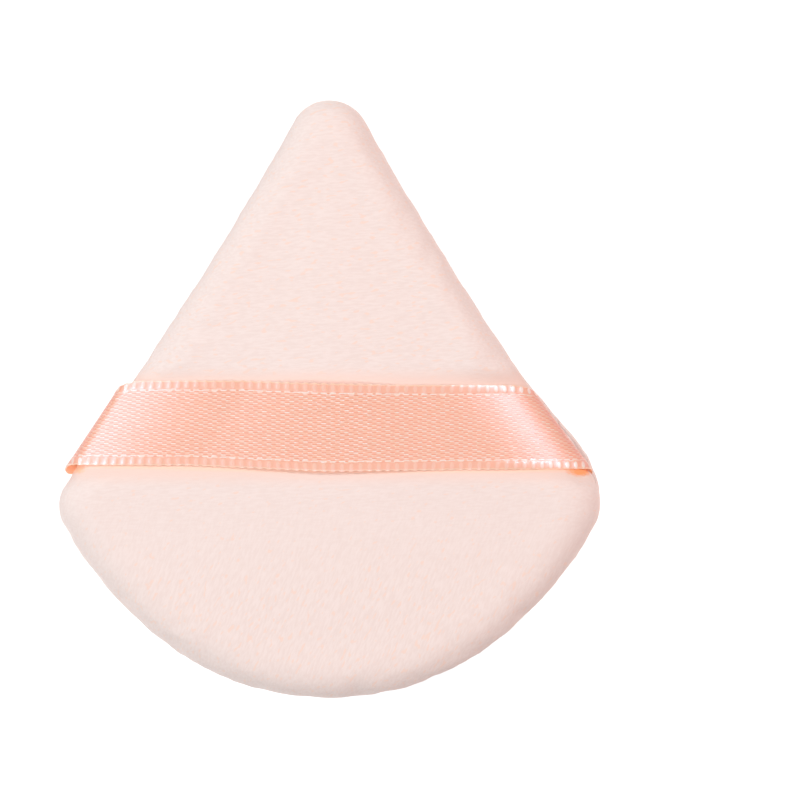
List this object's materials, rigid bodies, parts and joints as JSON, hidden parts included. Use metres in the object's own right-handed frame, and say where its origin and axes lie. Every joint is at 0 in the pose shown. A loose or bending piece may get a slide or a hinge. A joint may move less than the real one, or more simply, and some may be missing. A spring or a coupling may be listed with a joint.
{
  "type": "powder puff",
  "caption": "Flat triangular velour powder puff with a rounded tip and bowed base, foam filled and seamed round its edge, with a satin ribbon band on the back for the fingers.",
  "frame": {"origin": "on the surface the powder face rests on, under the middle of the puff's length and width", "axes": "+Z out of the ribbon face, +Y from the bowed base to the rounded tip, +X along the ribbon"},
  "size_m": [0.0634, 0.07, 0.0134],
  "materials": {
    "velour": "short-pile velour, matt, pale peach pink",
    "satin": "double-faced satin ribbon, soft sheen, peach",
    "foam": "open-cell foam, off-white",
    "thread": "spun polyester sewing thread"
  },
  "bodies": {
    "pad": {"powder_face_cover": "velour", "ribbon_face_cover": "velour", "foam_core": "foam", "seam_needle_thread": "thread", "seam_bobbin_thread": "thread", "closing_thread": "thread", "ribbon_end_left": "satin", "ribbon_end_right": "satin"},
    "band": {"finger_band": "satin"}
  },
  "joints": [
    {"name": "band_lift", "type": "slide", "parent": "pad", "child": "band", "axis": [0, 0, 1], "range_m": [0, 0.008]}
  ]
}
